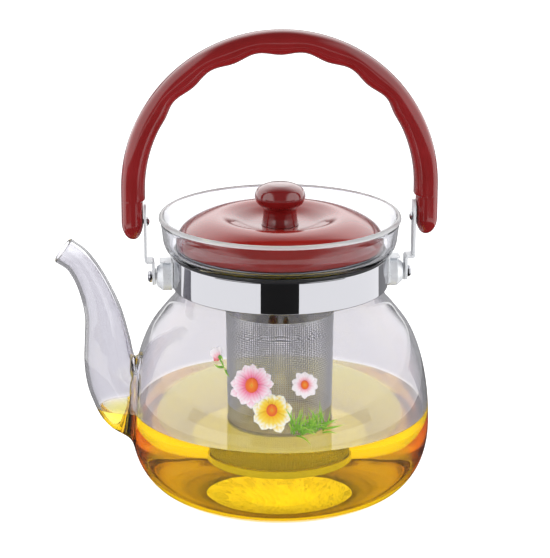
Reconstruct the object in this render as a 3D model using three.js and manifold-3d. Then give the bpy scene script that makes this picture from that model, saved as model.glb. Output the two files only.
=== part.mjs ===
// Glass teapot with a folding bail handle, a steel neck band, a hanging infuser and a knobbed lid.
// Millimetres, +Z up. The origin is the centre of the flat base, and the spout points to -X.
import * as THREE from 'three';
import { mergeVertices } from 'three/addons/utils/BufferGeometryUtils.js';
import Module from 'manifold-3d';

const wasm = await Module();
wasm.setup();

// ---- driving dimensions ----
const ROUND = 36; // facets of the parts that nest around the pot's axis
const GAP = 0.3; // clearance between pieces that touch
const EPS = 1e-4;
const ARC_STEPS = 7; // from the base to the belly
const TALL = 30; // half height of cutters that pass right through

// glass body
const BASE_R = 44.5;
const BELLY_R = 76;
const BELLY_Z = 37.5;
const HEEL = 0.88; // below 1 the lower corner of the pot is fuller than an ellipse
const WALL = 2.4;
const NECK_R = 51.6;
const NECK_Z = [108.7, 123.8];
const RIM_Z = 144.2;
// belly to neck, then neck to rim, as radius and height
const SHOULDER = [
  [BELLY_R, BELLY_Z], [75.1, 53], [71.7, 70.8], [66.2, 85], [59.1, 94.8], [53.5, 101.6],
  [NECK_R, NECK_Z[0]],
];
const COLLAR = [
  [NECK_R, NECK_Z[1]], [52.7, 125.6], [56.2, 127.2], [58, 130.2], [59, 136.2], [59.6, 140.7],
  [60.6, RIM_Z - 1.1],
];
// the rounded rim, as steps inwards from the end of the collar and down from the rim
const RIM_BEAD = [[0.3, 0.25], [1.1, 0], [2.1, 0.25]];

// spout: centre x, centre z, half depth in the plane of the spout, half width across it
const SPOUT = [
  [-62, 47.6, 20, 15.5],
  [-74.5, 49.2, 19, 15],
  [-82.6, 57.6, 14.8, 13.5],
  [-86, 68.4, 13, 12.4],
  [-87.2, 80.6, 11.5, 11.2],
  [-88.7, 93.8, 9.6, 9.6],
  [-92, 105.2, 8.2, 8.2],
  [-96.5, 115.6, 7.3, 7.3],
  [-101.5, 123, 6.9, 6.9],
  [-107.7, 127.8, 7, 7],
];
const SPOUT_WALL = 1.9;
const SPOUT_SIDES = 16;
const SPOUT_OVERRUN = 2; // the bore is cut this far past the mouth
const SPOUT_STEPS = 17;

// steel band and its liner
const BAND_Z = [108.7, 124.8];
const BAND_R = 54.2;
const BAND_T = 0.8;
const BAND_EDGE = 0.3; // chamfer of the upper edge
const LINER_T = 1.2;
const LINER_FOOT_Z = BAND_Z[0] + 0.6;
// the liner's lip covers the band's upper edge, under the flare of the collar
const LINER_LIP_R = BAND_R + 0.5;
const LINER_LIP_Z = 126;

// pivots, the same on the spout side and the far side
const PIVOT_Z = 113.6;
const PLATE_R = BAND_R + GAP;
const PLATE_T = 0.8;
const PLATE_HALF_Y = 7.5;
const PLATE_Z = [109.1, 122.2];
const LUG_X = [PLATE_R + 0.3, 60.4];
const LUG_HALF_Y = 4;
const BOSS_R = 7.2;
const BOSS_TIP_R = 5;
const BOSS_CHAMFER = 2.9;
const BOSS_START_X = 50; // inside the saddle it is cut to
const BOSS_X = 61.8;
const SCREW_R = 1.9;
const SCREW_HEAD_R = 3;
const SCREW_HEAD_T = 2;
const SLOT_DEPTH = 0.8;
const SLOT_W = 0.9;
const SCREW_START_X = 56.6;
const HOLE_PLAY = 0.35;
const WASHER_R = 4.3;
const WASHER_T = 0.5;

// brackets: a flat strap with an ear on the pivot, a foot outwards and a leg up the grip
const STRAP_T = 1.2;
const STRAP_W = 9;
const EAR_X = BOSS_X + WASHER_T + 2 * GAP;
const FOOT_Z = 121.3;
const LEG_X = 66.7;
const LEG_TOP_Z = 151;
const BEND = 1;
const RIVET_Z = 142.2;
const RIVET_R = 1.2;
const RIVET_HEAD_R = 2.3;
const RIVET_HEAD_T = 1.4;
const RIVET_TIP_X = 73;

// bail grip: an arch on two straight legs with finger scallops inside the crown
const GRIP_Z = 158.6;
const GRIP_OUT_R = 79;
const GRIP_IN_R = 67;
const GRIP_HALF_Y = 7.5;
const GRIP_END_Z = 133.2;
const GRIP_CAP = 9;
const GRIP_STEP_Z = 153.6;
const GRIP_RECESS_X = LEG_X + STRAP_T + GAP;
const SCALLOP = 0.9;
const SCALLOP_RISE = 0.6;
const SCALLOP_PITCH = 20;
const SCALLOP_SPAN = 50;
const SCALLOP_FADE = 16;
const CROWN_STEP = 4; // degrees
const CAP_ANGLES = [4, 20, 40, 62, 90]; // where the rounded end has its sections
const GRIP_SIDES = 14;
const GRIP_SQUARE = 0.82;

// infuser
const FLANGE_R = 51.8;
const FLANGE_Z = 128.3;
const SHEET = 0.8;
const SKIRT_R = 48.4;
const SKIRT_Z = 122.7;
const INFUSER_R = 27.6;
const SLEEVE_Z = 95.5;
const MESH_FOOT_R = 26.4;
const MESH_TOP_R = INFUSER_R - 0.2;
const RING_R = MESH_FOOT_R + 0.6;
const RING_T = 1.8;
const RING_Z = [19.6, 22.8];
const FLOOR_R = MESH_FOOT_R - 1.5;
const FLOOR_Z = RING_Z[0] + 1;

// lid and knob
const LID_Z = FLANGE_Z + SHEET + GAP;
const LID_R = 51.8;
const LID_WALL = 2.2;
const LID_BASE_R = 49.3;
const LID_BASE_Z = 129.8;
const LID_BASE_T = 1.8;
// a low dome with a dished middle, from the knob's seat to the edge
const LID_TOP = [
  [9, 139.2], [17, 140], [24.5, 142.7], [30.5, 144.1], [37, 143.3], [44, 140.4], [49.2, 136.8],
  [LID_R, 132.9],
];
const HUB_R = 6;
const PLUG_R = 24.4;
const PLUG_T = 1.8;
const PLUG_Z = 123;
const SEAL_R = 26.4;
const SEAL_Z = [124.4, 127];
const KNOB_Z = LID_TOP[0][1] + GAP;
const KNOB_TOP_Z = 160.6;
const KNOB = [
  [8.9, KNOB_Z], [8.4, 144.6], [8.6, 148], [11.4, 150.6], [12.6, 153.9], [11.2, 157.7], [7, 159.9],
];
const KNOB_SCREW_TOP_Z = 152.6;
const KNOB_HOLE_Z = KNOB_SCREW_TOP_Z + 0.6;

// ---- materials ----
const FINISHES = {
  glass: { color: 0xe3e6ee, roughness: 0.04, metalness: 0, transparent: true, opacity: 0.35 },
  steel: { color: 0xc9cbd0, roughness: 0.16, metalness: 1 },
  satinSteel: { color: 0xb4b6ba, roughness: 0.34, metalness: 1 },
  meshSteel: { color: 0xa9abad, roughness: 0.45, metalness: 1 },
  redPlastic: { color: 0x9a1b1e, roughness: 0.14, metalness: 0 },
  silicone: { color: 0xe6e0d2, roughness: 0.55, metalness: 0 },
  rubber: { color: 0x242427, roughness: 0.6, metalness: 0 },
};

// ---- helpers ----

// The faces of a geometry with shared vertices, no collapsed faces, and pointing out.
function weld(geometry) {
  const bare = new THREE.BufferGeometry();
  bare.setAttribute('position', geometry.getAttribute('position').clone());
  if (geometry.index) bare.setIndex(geometry.index.clone());
  const merged = mergeVertices(bare, EPS);
  const position = merged.getAttribute('position');
  const index = merged.index.array;
  const kept = [];
  for (let i = 0; i < index.length; i += 3) {
    const [a, b, c] = [index[i], index[i + 1], index[i + 2]];
    if (a !== b && b !== c && c !== a) kept.push(a, b, c);
  }
  const corner = (i) => new THREE.Vector3().fromBufferAttribute(position, i);
  let volume = 0;
  for (let i = 0; i < kept.length; i += 3) {
    volume += corner(kept[i]).dot(corner(kept[i + 1]).cross(corner(kept[i + 2])));
  }
  if (volume < 0) kept.reverse();
  merged.setIndex(kept);
  return merged;
}

function toSolid(geometry) {
  const welded = weld(geometry);
  return new wasm.Manifold(new wasm.Mesh({
    numProp: 3,
    vertProperties: new Float32Array(welded.getAttribute('position').array),
    triVerts: new Uint32Array(welded.index.array),
  }));
}

function toGeometry(solid) {
  const mesh = solid.getMesh();
  const geometry = new THREE.BufferGeometry();
  geometry.setAttribute('position', new THREE.BufferAttribute(mesh.vertProperties, 3));
  geometry.setIndex(new THREE.BufferAttribute(mesh.triVerts, 1));
  return geometry;
}

const subtract = (first, ...cutters) => toGeometry(
  cutters.reduce((solid, cutter) => solid.subtract(toSolid(cutter)), toSolid(first)));
const intersect = (first, second) => toGeometry(toSolid(first).intersect(toSolid(second)));
const unite = (first, second) => toGeometry(toSolid(first).add(toSolid(second)));

const vectors = (pairs) => pairs.map(([x, y]) => new THREE.Vector2(x, y));
const spline = (pairs, steps) => new THREE.SplineCurve(vectors(pairs)).getPoints(steps);

// A solid of revolution about +Z from a profile of radius and height.
function turned(profile, sides = ROUND) {
  const points = profile.map((p) => (p.isVector2 ? p : new THREE.Vector2(p[0], p[1])));
  return weld(new THREE.LatheGeometry(points, sides).rotateX(Math.PI / 2));
}

// A ring of rectangular section.
function ring(inner, outer, low, high, sides = ROUND) {
  return turned([[inner, low], [outer, low], [outer, high], [inner, high], [inner, low]], sides);
}

// The profile moved sideways: a positive distance goes to the left of its direction.
function offset(points, distance) {
  return points.map((point, i) => {
    const before = points[Math.max(i - 1, 0)];
    const after = points[Math.min(i + 1, points.length - 1)];
    const along = after.clone().sub(before).normalize();
    return new THREE.Vector2(point.x - along.y * distance, point.y + along.x * distance);
  });
}

// A closed solid through rings of points, with a fan over each end.
function loft(rings) {
  const sides = rings[0].length;
  const positions = rings.flat().flatMap((p) => [p.x, p.y, p.z]);
  const faces = [];
  for (let row = 0; row + 1 < rings.length; row++) {
    for (let side = 0; side < sides; side++) {
      const next = (side + 1) % sides;
      const [a, b] = [row * sides + side, row * sides + next];
      faces.push(a, b, b + sides, a, b + sides, a + sides);
    }
  }
  for (const [row, flip] of [[0, true], [rings.length - 1, false]]) {
    const centre = rings[row].reduce((sum, p) => sum.add(p), new THREE.Vector3()).divideScalar(sides);
    const tip = positions.length / 3;
    positions.push(centre.x, centre.y, centre.z);
    for (let side = 0; side < sides; side++) {
      const [a, b] = [row * sides + side, row * sides + (side + 1) % sides];
      faces.push(...(flip ? [tip, b, a] : [tip, a, b]));
    }
  }
  const geometry = new THREE.BufferGeometry();
  geometry.setAttribute('position', new THREE.Float32BufferAttribute(positions, 3));
  geometry.setIndex(faces);
  return weld(geometry);
}

// A profile turned about the X axis: pairs of radius and distance along +X (or -X for side -1).
function turnedAlongX(profile, side, sides = 20) {
  return weld(turned(profile, sides).rotateY((side * Math.PI) / 2));
}

// ---- glass ----

// The outside of the pot from the middle of its base to the top of its rim bead.
function potOutside() {
  const lower = [];
  for (let i = 0; i < ARC_STEPS; i++) {
    const a = (i / ARC_STEPS) * (Math.PI / 2);
    const x = BASE_R + (BELLY_R - BASE_R) * Math.sin(a) ** HEEL;
    lower.push(new THREE.Vector2(x, BELLY_Z - BELLY_Z * Math.cos(a) ** HEEL));
  }
  return [...lower, ...spline(SHOULDER, 10), ...spline(COLLAR, 8)];
}

// The pot as a full solid, grown by a distance, for cutting what is fused to it.
function potBlank(growth) {
  const profile = offset(potOutside(), -growth);
  return turned([[0, -growth], ...profile.map((p) => [p.x, p.y]), [0, RIM_Z]]);
}

function glassBody() {
  const outside = potOutside();
  const inside = offset(outside, WALL).reverse();
  const bead = RIM_BEAD.map(([inwards, down]) => [outside.at(-1).x - inwards, RIM_Z - down]);
  const shell = turned([
    new THREE.Vector2(0, 0), ...outside, ...vectors(bead), ...inside, new THREE.Vector2(0, WALL),
  ]);
  return subtract(shell, spoutLoft(-SPOUT_WALL, 0));
}

// The spout's surface, grown by a distance and run past its mouth by another.
function spoutLoft(growth, overrun) {
  const line = new THREE.CatmullRomCurve3(SPOUT.map(([x, z]) => new THREE.Vector3(x, 0, z)));
  const sizes = new THREE.SplineCurve(SPOUT.map(([, , depth, width]) => new THREE.Vector2(depth, width)));
  const rings = [];
  const station = (t, push) => {
    const along = line.getTangent(t);
    const centre = line.getPoint(t).addScaledVector(along, push);
    const across = new THREE.Vector3(along.z, 0, -along.x);
    const size = sizes.getPoint(t);
    const points = [];
    for (let i = 0; i < SPOUT_SIDES; i++) {
      const a = (i / SPOUT_SIDES) * 2 * Math.PI;
      points.push(centre.clone()
        .addScaledVector(across, Math.cos(a) * (size.x + growth))
        .add(new THREE.Vector3(0, Math.sin(a) * (size.y + growth), 0)));
    }
    rings.push(points);
  };
  for (let i = 0; i <= SPOUT_STEPS; i++) station(i / SPOUT_STEPS, 0);
  if (overrun > 0) station(1, overrun);
  return loft(rings);
}

function glassSpout() {
  return subtract(spoutLoft(0, 0), spoutLoft(-SPOUT_WALL, SPOUT_OVERRUN), potBlank(GAP));
}

// ---- steel band ----

function neckBand() {
  const [low, high] = BAND_Z;
  const inner = BAND_R - BAND_T;
  return turned([
    [inner, low], [BAND_R, low], [BAND_R, high - BAND_EDGE], [BAND_R - BAND_EDGE, high],
    [inner, high], [inner, low],
  ]);
}

function bandLiner() {
  const outer = BAND_R - BAND_T - GAP;
  const inner = outer - LINER_T;
  const [lipLow, lipTop] = [BAND_Z[1] + GAP, LINER_LIP_Z];
  return turned([
    [inner, LINER_FOOT_Z], [outer, LINER_FOOT_Z], [outer, lipLow], [LINER_LIP_R - 0.2, lipLow],
    [LINER_LIP_R, lipTop - 0.5], [LINER_LIP_R - 0.3, lipTop], [LINER_LIP_R - 1, lipTop - 0.1],
    [inner + 1, lipTop - 0.6], [inner + 0.5, lipTop - 1.3], [inner, NECK_Z[1] - 0.2],
    [inner, LINER_FOOT_Z],
  ]);
}

// ---- pivots: side is -1 at the spout and +1 opposite ----

function block(x0, x1, y0, y1, z0, z1) {
  const box = new THREE.BoxGeometry(x1 - x0, y1 - y0, z1 - z0);
  return box.translate((x0 + x1) / 2, (y0 + y1) / 2, (z0 + z1) / 2);
}

const mirrored = (geometry, side) => (side > 0 ? geometry : weld(geometry.scale(-1, 1, 1)));

function pivotPlate(side) {
  const saddle = intersect(
    ring(PLATE_R, PLATE_R + PLATE_T, PLATE_Z[0], PLATE_Z[1]),
    block(0, PLATE_R + TALL, -PLATE_HALF_Y, PLATE_HALF_Y, PLATE_Z[0] - 1, PLATE_Z[1] + 1),
  );
  const lug = block(LUG_X[0], LUG_X[1], -LUG_HALF_Y, LUG_HALF_Y, PLATE_Z[1] - PLATE_T, PLATE_Z[1]);
  return mirrored(unite(saddle, lug), side);
}

function pivotBoss(side) {
  const bore = SCREW_R + HOLE_PLAY;
  const shoulder = BOSS_X - BOSS_CHAMFER;
  const body = turnedAlongX([
    [bore, BOSS_START_X], [BOSS_R, BOSS_START_X], [BOSS_R, shoulder], [BOSS_R - 0.5, shoulder + 0.5],
    [BOSS_TIP_R, BOSS_X - 0.2], [BOSS_TIP_R - 0.4, BOSS_X], [bore, BOSS_X], [bore, BOSS_START_X],
  ], 1);
  const seatR = PLATE_R + PLATE_T + GAP;
  const saddle = turned([[0, -TALL], [seatR, -TALL], [seatR, TALL], [0, TALL]]);
  return mirrored(subtract(body, saddle), side);
}

function pivotWasher(side) {
  const bore = SCREW_R + HOLE_PLAY;
  const [near, far] = [BOSS_X + GAP, BOSS_X + GAP + WASHER_T];
  return turnedAlongX([[bore, near], [WASHER_R, near], [WASHER_R, far], [bore, far], [bore, near]], side);
}

function pivotScrew(side) {
  const seat = EAR_X + STRAP_T + GAP;
  const end = seat + SCREW_HEAD_T;
  const screw = turnedAlongX([
    [0, SCREW_START_X], [SCREW_R - 0.4, SCREW_START_X], [SCREW_R, SCREW_START_X + 0.5], [SCREW_R, seat],
    [SCREW_HEAD_R, seat], [SCREW_HEAD_R, seat + 0.9], [2.3, end - 0.3], [1.2, end], [0, end],
  ], 1);
  const reach = SCREW_HEAD_R + 1;
  const slot = block(end - SLOT_DEPTH, end + 1, -SLOT_W / 2, SLOT_W / 2, -reach, reach);
  return mirrored(subtract(screw, slot), side);
}

// ---- bail ----

function bracket(side) {
  const bottom = PIVOT_Z - STRAP_W / 2;
  const [earOut, legOut, footTop] = [EAR_X + STRAP_T, LEG_X + STRAP_T, FOOT_Z + STRAP_T];
  const edge = new THREE.Shape(vectors([
    [EAR_X, bottom - 1], [earOut, bottom - 1], [earOut, FOOT_Z], [legOut - BEND, FOOT_Z],
    [legOut, FOOT_Z + BEND], [legOut, LEG_TOP_Z + 1], [LEG_X, LEG_TOP_Z + 1], [LEG_X, footTop],
    [EAR_X + BEND, footTop], [EAR_X, footTop - BEND],
  ]));
  const bent = new THREE.ExtrudeGeometry(edge, { depth: STRAP_W + 2, bevelEnabled: false });
  bent.rotateX(Math.PI / 2).translate(0, STRAP_W / 2 + 1, 0);

  const half = STRAP_W / 2;
  const face = new THREE.Shape();
  face.absarc(0, PIVOT_Z, half, Math.PI, 2 * Math.PI, false);
  face.absarc(0, LEG_TOP_Z - half, half, 0, Math.PI, false);
  const holes = [[PIVOT_Z, SCREW_R + HOLE_PLAY + 0.1], [RIVET_Z, RIVET_R + HOLE_PLAY]];
  for (const [height, radius] of holes) {
    face.holes.push(new THREE.Path().absarc(0, height, radius, 0, 2 * Math.PI, true));
  }
  const flat = new THREE.ExtrudeGeometry(face, { depth: TALL, bevelEnabled: false, curveSegments: 10 });
  flat.rotateX(Math.PI / 2).rotateZ(Math.PI / 2).translate(EAR_X - TALL / 2, 0, 0);
  return mirrored(intersect(bent, flat), side);
}

function bracketRivet(side) {
  const face = LEG_X - GAP;
  const body = turnedAlongX([
    [0, face - RIVET_HEAD_T], [1.1, face - RIVET_HEAD_T + 0.15], [1.9, face - 0.8],
    [RIVET_HEAD_R, face - 0.3], [RIVET_HEAD_R, face], [RIVET_R, face], [RIVET_R, RIVET_TIP_X],
    [0, RIVET_TIP_X],
  ], 1, 16);
  return mirrored(body, side);
}

// One oval section of the grip, from its inner to its outer face, in a plane through the arch.
function gripSection(base, outwards, inner, outer, halfWidth) {
  const points = [];
  const squared = (v) => Math.sign(v) * Math.abs(v) ** GRIP_SQUARE;
  for (let i = 0; i < GRIP_SIDES; i++) {
    const a = (i / GRIP_SIDES) * 2 * Math.PI;
    const reach = (inner + outer) / 2 + ((outer - inner) / 2) * squared(Math.cos(a));
    const point = base.clone().addScaledVector(outwards, reach);
    point.y = squared(Math.sin(a)) * halfWidth;
    points.push(point);
  }
  return points;
}

// How far the inner face of the crown is from the arch's centre, at an angle from the vertical.
function crownInside(degrees) {
  const end = SCALLOP_SPAN + SCALLOP_FADE;
  const fade = THREE.MathUtils.smoothstep(Math.abs(degrees), SCALLOP_SPAN, end);
  const wave = SCALLOP_RISE - SCALLOP * Math.cos((degrees / SCALLOP_PITCH) * 2 * Math.PI);
  return GRIP_IN_R + wave * (1 - fade);
}

// The sections of one leg, from its rounded end up to the crown.
function gripLeg(side) {
  const outwards = new THREE.Vector3(side, 0, 0);
  const heights = CAP_ANGLES.map((degrees) => {
    const a = THREE.MathUtils.degToRad(degrees);
    return [GRIP_END_Z + GRIP_CAP * (1 - Math.cos(a)), Math.sin(a)];
  });
  heights.push([147, 1], [GRIP_STEP_Z - 0.6, 1], [GRIP_STEP_Z + 0.6, 1]);
  return heights.map(([z, fill]) => {
    const inner = z < GRIP_STEP_Z ? GRIP_RECESS_X : GRIP_IN_R;
    const middle = (inner + GRIP_OUT_R) / 2 - (1 - fill) * 0.4;
    const half = ((GRIP_OUT_R - inner) / 2) * fill;
    const base = new THREE.Vector3(0, 0, z);
    return gripSection(base, outwards, middle - half, middle + half, GRIP_HALF_Y * fill);
  });
}

function bailGrip() {
  const rings = gripLeg(-1);
  const centre = new THREE.Vector3(0, 0, GRIP_Z);
  for (let degrees = -90; degrees <= 90; degrees += CROWN_STEP) {
    const a = THREE.MathUtils.degToRad(degrees);
    const outwards = new THREE.Vector3(Math.sin(a), 0, Math.cos(a));
    rings.push(gripSection(centre, outwards, crownInside(degrees), GRIP_OUT_R, GRIP_HALF_Y));
  }
  rings.push(...gripLeg(1).reverse());
  const holeR = RIVET_R + HOLE_PLAY;
  const [start, end] = [GRIP_RECESS_X - 10, RIVET_TIP_X + 0.5];
  const holes = [-1, 1].map((side) => turnedAlongX(
    [[0, start], [holeR, start], [holeR, end], [0, end]], side, 16,
  ).translate(0, 0, RIVET_Z));
  return subtract(loft(rings), ...holes);
}

// ---- infuser ----

function infuserFlange() {
  const hole = INFUSER_R + GAP;
  const top = FLANGE_Z + SHEET;
  return turned([
    [hole, FLANGE_Z], [SKIRT_R - SHEET, FLANGE_Z], [SKIRT_R - SHEET, SKIRT_Z], [SKIRT_R, SKIRT_Z],
    [SKIRT_R, FLANGE_Z], [FLANGE_R, FLANGE_Z], [FLANGE_R, top], [hole, top], [hole, FLANGE_Z],
  ]);
}

const infuserSleeve = () => ring(INFUSER_R - SHEET, INFUSER_R, SLEEVE_Z, FLANGE_Z + SHEET);

function infuserMesh() {
  const [low, high] = [RING_Z[1] + GAP, SLEEVE_Z - GAP];
  return turned([
    [MESH_FOOT_R, low], [MESH_TOP_R, high], [MESH_TOP_R - SHEET, high], [MESH_FOOT_R - SHEET, low],
    [MESH_FOOT_R, low],
  ]);
}

const infuserRing = () => ring(RING_R - RING_T, RING_R, RING_Z[0], RING_Z[1]);

function infuserBase() {
  const top = FLOOR_Z + SHEET;
  return turned([[0, FLOOR_Z], [FLOOR_R, FLOOR_Z], [FLOOR_R, top], [0, top]]);
}

// ---- lid ----

function lidShell() {
  const hole = SCREW_R + HOLE_PLAY;
  const crown = spline(LID_TOP, 11);
  const underside = offset(crown, -LID_WALL).reverse();
  return turned([
    [hole, LID_TOP[0][1]], ...crown, [LID_R, LID_Z + 0.6], [LID_R - 0.6, LID_Z],
    [LID_R - LID_WALL + 0.2, LID_Z], [LID_R - LID_WALL, LID_Z + 0.4],
    ...underside, [hole, LID_TOP[0][1] - LID_WALL], [hole, LID_TOP[0][1]],
  ]);
}

function lidBase() {
  const hole = SCREW_R + HOLE_PLAY;
  const hubTop = LID_TOP[0][1] - LID_WALL - GAP;
  const top = LID_BASE_Z + LID_BASE_T;
  return turned([
    [hole, LID_BASE_Z], [PLUG_R - PLUG_T, LID_BASE_Z], [PLUG_R - PLUG_T, PLUG_Z], [PLUG_R, PLUG_Z],
    [PLUG_R, LID_BASE_Z], [LID_BASE_R, LID_BASE_Z], [LID_BASE_R, top], [HUB_R, top], [HUB_R, hubTop],
    [hole, hubTop], [hole, LID_BASE_Z],
  ]);
}

const lidSeal = () => ring(PLUG_R + GAP, SEAL_R, SEAL_Z[0], SEAL_Z[1]);

function knob() {
  const hole = SCREW_R + HOLE_PLAY;
  return turned([
    [hole, KNOB_HOLE_Z], [hole, KNOB_Z], ...spline(KNOB, 10), [3, KNOB_TOP_Z - 0.1], [0, KNOB_TOP_Z],
    [0, KNOB_HOLE_Z], [hole, KNOB_HOLE_Z],
  ], 24);
}

const knobWasher = () => ring(
  SCREW_R + HOLE_PLAY, HUB_R - 0.5, LID_BASE_Z - GAP - WASHER_T, LID_BASE_Z - GAP, 24);

function knobScrew() {
  const seat = LID_BASE_Z - 2 * GAP - WASHER_T;
  return turned([
    [0, seat - 2], [1.6, seat - 2], [3.2, seat - 1.2], [3.8, seat], [SCREW_R, seat],
    [SCREW_R, KNOB_SCREW_TOP_Z], [0, KNOB_SCREW_TOP_Z],
  ], 20);
}

// ---- assembly ----

const teapot = new THREE.Group();

function add(name, geometry, finish, parent = teapot) {
  const mesh = new THREE.Mesh(geometry, new THREE.MeshStandardMaterial(FINISHES[finish]));
  mesh.name = name;
  parent.add(mesh);
  return mesh;
}

add('glass_body', glassBody(), 'glass');
add('glass_spout', glassSpout(), 'glass');
add('neck_band', neckBand(), 'steel');
add('band_liner', bandLiner(), 'rubber');

const lid = new THREE.Group();
const infuser = new THREE.Group();
const pivots = new THREE.Group();
const bail = new THREE.Group();
teapot.add(pivots, bail, infuser, lid);
pivots.position.z = PIVOT_Z;

for (const [where, side] of [['left', -1], ['right', 1]]) {
  add(`pivot_plate_${where}`, pivotPlate(side), 'satinSteel');
  add(`pivot_boss_${where}`, pivotBoss(side), 'satinSteel', pivots);
  add(`pivot_washer_${where}`, pivotWasher(side), 'satinSteel', pivots);
  add(`pivot_screw_${where}`, pivotScrew(side), 'steel', pivots);
  add(`bail_bracket_${where}`, bracket(side), 'satinSteel', bail);
  add(`bail_rivet_${where}`, bracketRivet(side), 'steel', bail).position.z = RIVET_Z;
}
add('bail_grip', bailGrip(), 'redPlastic', bail);

add('infuser_flange', infuserFlange(), 'steel', infuser);
add('infuser_sleeve', infuserSleeve(), 'steel', infuser);
add('infuser_mesh', infuserMesh(), 'meshSteel', infuser);
add('infuser_ring', infuserRing(), 'steel', infuser);
add('infuser_base', infuserBase(), 'meshSteel', infuser);

add('lid_shell', lidShell(), 'redPlastic', lid);
add('lid_base', lidBase(), 'redPlastic', lid);
add('lid_seal', lidSeal(), 'silicone', lid);
add('lid_knob', knob(), 'redPlastic', lid);
add('knob_washer', knobWasher(), 'satinSteel', lid);
add('knob_screw', knobScrew(), 'satinSteel', lid);

export default teapot;
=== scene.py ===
import math
import random

import bmesh
import bpy
import numpy as np
from mathutils import Matrix, Vector


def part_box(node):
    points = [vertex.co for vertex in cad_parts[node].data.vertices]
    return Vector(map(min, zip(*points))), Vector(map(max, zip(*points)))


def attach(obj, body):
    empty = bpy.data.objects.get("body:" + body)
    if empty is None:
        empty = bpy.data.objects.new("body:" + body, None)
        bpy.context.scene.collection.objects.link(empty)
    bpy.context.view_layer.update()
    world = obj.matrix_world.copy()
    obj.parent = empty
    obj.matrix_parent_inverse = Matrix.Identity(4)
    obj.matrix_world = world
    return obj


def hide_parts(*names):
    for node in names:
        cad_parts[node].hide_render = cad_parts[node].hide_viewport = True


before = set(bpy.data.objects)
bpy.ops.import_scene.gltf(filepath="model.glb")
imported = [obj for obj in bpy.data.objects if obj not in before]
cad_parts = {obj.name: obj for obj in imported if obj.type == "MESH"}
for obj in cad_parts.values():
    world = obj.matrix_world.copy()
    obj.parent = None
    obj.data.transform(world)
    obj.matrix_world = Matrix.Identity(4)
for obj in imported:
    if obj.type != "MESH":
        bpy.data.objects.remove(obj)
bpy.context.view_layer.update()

MM = 0.001


def box_mm(name):
    """The lowest and highest corner of a CAD node, in millimetres."""
    low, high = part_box(name)
    return np.array(low) / MM, np.array(high) / MM


def round_mm(name):
    """The radius, lowest and highest level of a round CAD node on the pot's axis, in millimetres."""
    low, high = box_mm(name)
    return high[0], low[2], high[2]


# ---- sizes ----

# glass
BASE_R = 44.5
BELLY_R, _, RIM_Z = round_mm("glass_body")
BELLY_Z = 37.5
HEEL = 0.88
WALL = 2.4
NECK_R = 51.6
SHOULDER = [(75.1, 53), (71.7, 70.8), (66.2, 85), (59.1, 94.8), (53.5, 101.6)]
NECK = [(NECK_R, 108.7), (NECK_R, 116), (NECK_R, 123.8)]
COLLAR = [(52.7, 125.6), (56.2, 127.2), (58, 130.2), (59, 136.2), (59.6, 140.7), (60.6, RIM_Z - 1.1)]
# spout: centre x, centre z, half depth in the plane of the spout, half width across it
SPOUT = [
    (-62, 47.6, 20, 15.5), (-74.5, 49.2, 19, 15), (-82.6, 57.6, 14.8, 13.5), (-86, 68.4, 13, 12.4),
    (-87.2, 80.6, 11.5, 11.2), (-88.7, 93.8, 9.6, 9.6), (-92, 105.2, 8.2, 8.2), (-96.5, 115.6, 7.3, 7.3),
    (-101.5, 123, 6.9, 6.9), (-107.7, 127.8, 7, 7),
]
SPOUT_WALL = 1.9
ROOT_Z = 48.5  # the middle of the spout's root, on the pot's wall
ROOT_HALF_HEIGHT = 19.5
ROOT_HALF_WIDTH = 15.2
ROOT_SEARCH = 0.6  # the share of the spout's line in which it leaves the wall
FILLET_OUTSIDE = 5.0
FILLET_INSIDE = 3.5
FILLET_SPAN = 1.92  # samples of the spout's line that a millimetre of fillet takes up
FILLET_FULLNESS = 1.15
PATCH_LOW = 13  # the spout's root takes up the pot's wall from this height
PATCH_ROWS = 38  # for this many rows
PATCH_COLUMNS = 12  # half its width, in columns
COLUMNS = 192
ROW = 2.0  # height of a row of faces along the pot's wall
BASE_RINGS = 12  # rings of faces across the flat base
LIP_ROWS = 5  # rows from the patch's edge to the fillet
FILLET_ROWS = 8
SPOUT_ROWS = 87

# tea
TEA_Z = 45.5
PAINTED_GLEAM_Z = (0.05, 0.12)  # the pale sheet on the tea, above its surface, a painted reflection that makes it gleam
TEA_OVERLAP = 0.3  # the tea reaches this far into the glass, so that no air shows between them

# neck band
BAND_R = round_mm("band_liner")[0] - 0.5
BAND_LOW, BAND_HIGH = round_mm("neck_band")[1:]

# prints
PRINT_GAP = 0.05  # between the glass and the lowest print
PRINT_T = 0.03  # the thickness of each layer
CHANCE = random.Random(7)

# lid
KNOB_SCREW_R = 2.3  # the hole through the lid and into the knob

# gauze
WIRE_R = 0.16
WIRE_PITCH = 1.15
WIRE_SIDES = 4

# glass colours, for one wall, and the heights between which they change; the clear stop at the tea and the
# lighter stop at the top are painted light, brightening the tea and the red lid seen through the glass
GLASS_TINT = (0.7, 0.692, 0.73)
GLASS_PAINTED_CLEAR_AT_TEA = (0.99, 0.985, 0.97)
GLASS_PAINTED_LIGHT_COLLAR = (0.84, 0.84, 0.87)
PAINTED_CLEAR_TEA_Z = (TEA_Z - 2, TEA_Z + 3)
PAINTED_LIGHT_COLLAR_Z = (124, 128)

# light: a pair is how far a reflection points that way where a light begins to show and where it is full
WORLD_LIGHT = 1.35
WINDOWS = (0.38, 0.6)  # sideways
WINDOW_LIGHT = 1.6
SWEEP_TOP = (0.98, 0.6)  # upwards, for the upper edge of the pale sweep behind the pot
SWEEP_LOW = (0.05, 0.25)  # upwards, for its lower edge
SWEEP_SIDE = (0.0, 0.2)  # backwards
SWEEP_LIGHT = 1.75
DARK_WALL = 0.12
FLOOR_GLOW = (1.05, 0.1)  # outside the veil and in it
VEIL_DEPTH = 5.5  # the veil covers reflections that passed through fewer surfaces than this

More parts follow.
